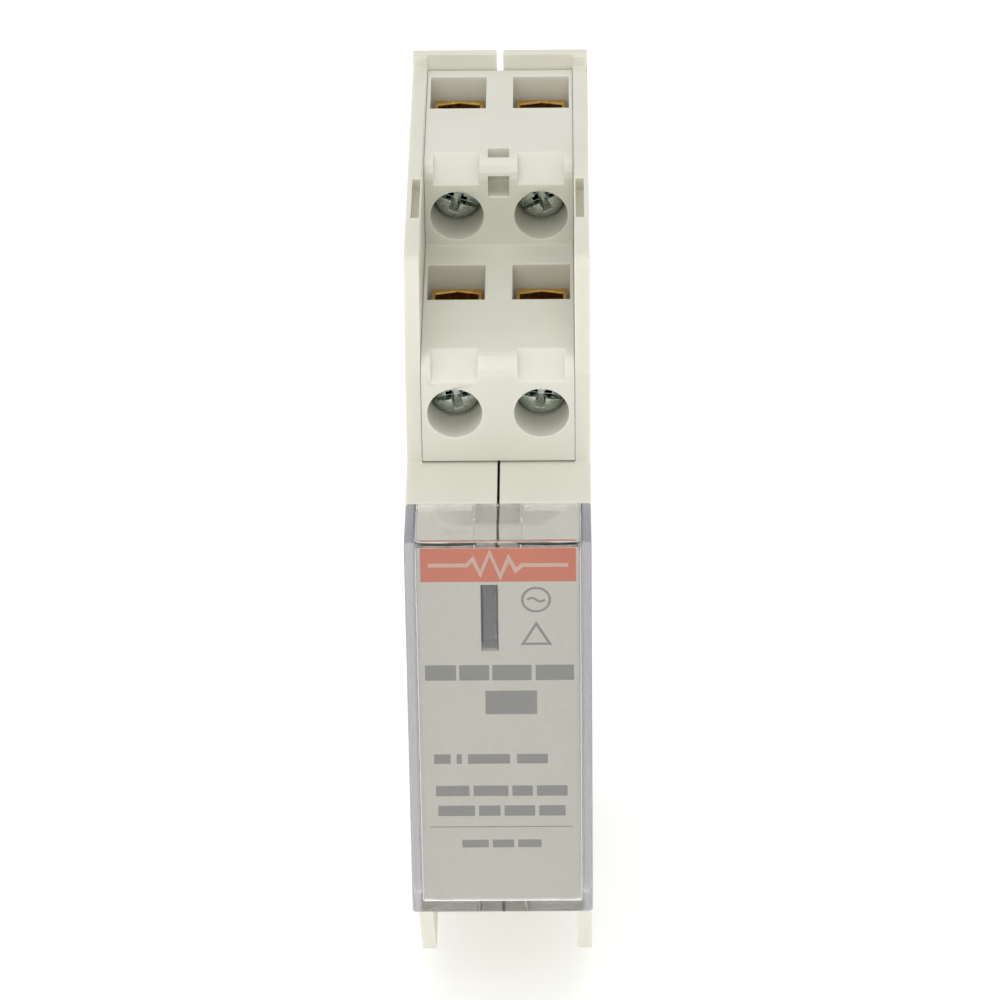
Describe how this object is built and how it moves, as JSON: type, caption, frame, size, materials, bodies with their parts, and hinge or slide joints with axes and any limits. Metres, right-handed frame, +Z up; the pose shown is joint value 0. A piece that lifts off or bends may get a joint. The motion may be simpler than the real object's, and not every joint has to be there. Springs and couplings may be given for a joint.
{
  "type": "surge protective device",
  "caption": "One-module rail-mounted surge protector: split housing with stepped screw terminals, clear front cover over a plain label, status window and sprung rail foot.",
  "frame": {"origin": "on the front face of the 35 mm rail, on the module's middle plane and the rail's centre line", "axes": "+X to the right seen from the front, +Y from the front to the rear, +Z up; the front cover faces -Y"},
  "size_m": [0.018, 0.0619, 0.0924],
  "materials": {
    "shell": "fine satin-textured pale grey moulding",
    "block": "fine satin-textured pale grey moulding",
    "clear_cover": "clear moulded polycarbonate",
    "label": "printed grey card with an orange band",
    "light_guide": "clear moulded light guide",
    "flag_green": "moulded green",
    "flag_red": "moulded red",
    "terminal_steel": "zinc-plated steel, bright",
    "rivet_steel": "plated steel",
    "cage_brass": "bare brass",
    "copper": "tinned copper strip",
    "varistor": "epoxy coating",
    "ceramic": "glazed ceramic",
    "solder": "low-melting solder",
    "foot_plastic": "moulded grey",
    "spring_steel": "drawn spring wire"
  },
  "bodies": {
    "housing": {"left_shell": "shell", "right_shell": "shell", "terminal_block": "block", "front_label": "label", "indicator_window": "light_guide", "indicator_backing": "flag_red", "rivet_front_top": "rivet_steel", "rivet_front_bottom": "rivet_steel", "rivet_rear_top": "rivet_steel", "rivet_rear_bottom": "rivet_steel", "line_bar": "copper", "neutral_bar": "copper", "line_strap": "copper", "neutral_strap": "copper", "varistor_disc": "varistor", "varistor_plate_left": "cage_brass", "varistor_plate_right": "cage_brass", "gas_tube": "ceramic", "gas_tube_cap_left": "rivet_steel", "gas_tube_cap_right": "rivet_steel", "arm_pivot_pin": "rivet_steel", "arm_spring": "spring_steel", "solder_pad": "solder", "rail_foot_spring": "spring_steel"},
    "cover": {"front_cover": "clear_cover"},
    "flag": {"status_flag": "flag_green"},
    "disconnector": {"disconnector_arm": "copper"},
    "foot": {"rail_foot": "foot_plastic"},
    "screw_lower_left": {"screw_lower_left": "terminal_steel"},
    "cage_lower_left": {"cage_lower_left": "cage_brass"},
    "screw_lower_right": {"screw_lower_right": "terminal_steel"},
    "cage_lower_right": {"cage_lower_right": "cage_brass"},
    "screw_upper_left": {"screw_upper_left": "terminal_steel"},
    "cage_upper_left": {"cage_upper_left": "cage_brass"},
    "screw_upper_right": {"screw_upper_right": "terminal_steel"},
    "cage_upper_right": {"cage_upper_right": "cage_brass"}
  },
  "joints": [
    {"name": "turn_screw_lower_left", "type": "hinge", "parent": "housing", "child": "screw_lower_left", "pos_m": [-0.00423, -0.03725, 0.0271], "axis": [0, 1, 0], "range_deg": [0, 2160]},
    {"name": "lift_cage_lower_left", "type": "slide", "parent": "housing", "child": "cage_lower_left", "axis": [0, -1, 0], "range_m": [0, 0.0036]},
    {"name": "turn_screw_lower_right", "type": "hinge", "parent": "housing", "child": "screw_lower_right", "pos_m": [0.00423, -0.03725, 0.0271], "axis": [0, 1, 0], "range_deg": [0, 2160]},
    {"name": "lift_cage_lower_right", "type": "slide", "parent": "housing", "child": "cage_lower_right", "axis": [0, -1, 0], "range_m": [0, 0.0036]},
    {"name": "turn_screw_upper_left", "type": "hinge", "parent": "housing", "child": "screw_upper_left", "pos_m": [-0.00423, -0.0132, 0.0363], "axis": [0, 1, 0], "range_deg": [0, 2160]},
    {"name": "lift_cage_upper_left", "type": "slide", "parent": "housing", "child": "cage_upper_left", "axis": [0, -1, 0], "range_m": [0, 0.0036]},
    {"name": "turn_screw_upper_right", "type": "hinge", "parent": "housing", "child": "screw_upper_right", "pos_m": [0.00423, -0.0132, 0.0363], "axis": [0, 1, 0], "range_deg": [0, 2160]},
    {"name": "lift_cage_upper_right", "type": "slide", "parent": "housing", "child": "cage_upper_right", "axis": [0, -1, 0], "range_m": [0, 0.0036]},
    {"name": "pull_cover", "type": "slide", "parent": "housing", "child": "cover", "axis": [0, -1, 0], "range_m": [0, 0.012]},
    {"name": "release_disconnector", "type": "hinge", "parent": "housing", "child": "disconnector", "pos_m": [-0.0018, -0.042, 0.0015], "axis": [1, 0, 0], "range_deg": [0, 50]},
    {"name": "drop_flag", "type": "slide", "parent": "housing", "child": "flag", "axis": [0, 0, -1], "range_m": [0, 0.0072]},
    {"name": "slide_rail_foot", "type": "slide", "parent": "housing", "child": "foot", "axis": [0, 0, -1], "range_m": [0, 0.0035], "stiffness_N_per_m": 1500, "springref_m": -0.004, "deforming": ["rail_foot_spring"]}
  ],
  "couplings": [
    {"joint": "turn_screw_lower_left", "follows": "lift_cage_lower_left", "rad_per_m": 10472},
    {"joint": "turn_screw_lower_right", "follows": "lift_cage_lower_right", "rad_per_m": 10472},
    {"joint": "turn_screw_upper_left", "follows": "lift_cage_upper_left", "rad_per_m": 10472},
    {"joint": "turn_screw_upper_right", "follows": "lift_cage_upper_right", "rad_per_m": 10472},
    {"joint": "release_disconnector", "follows": "drop_flag", "rad_per_m": 121.2}
  ]
}
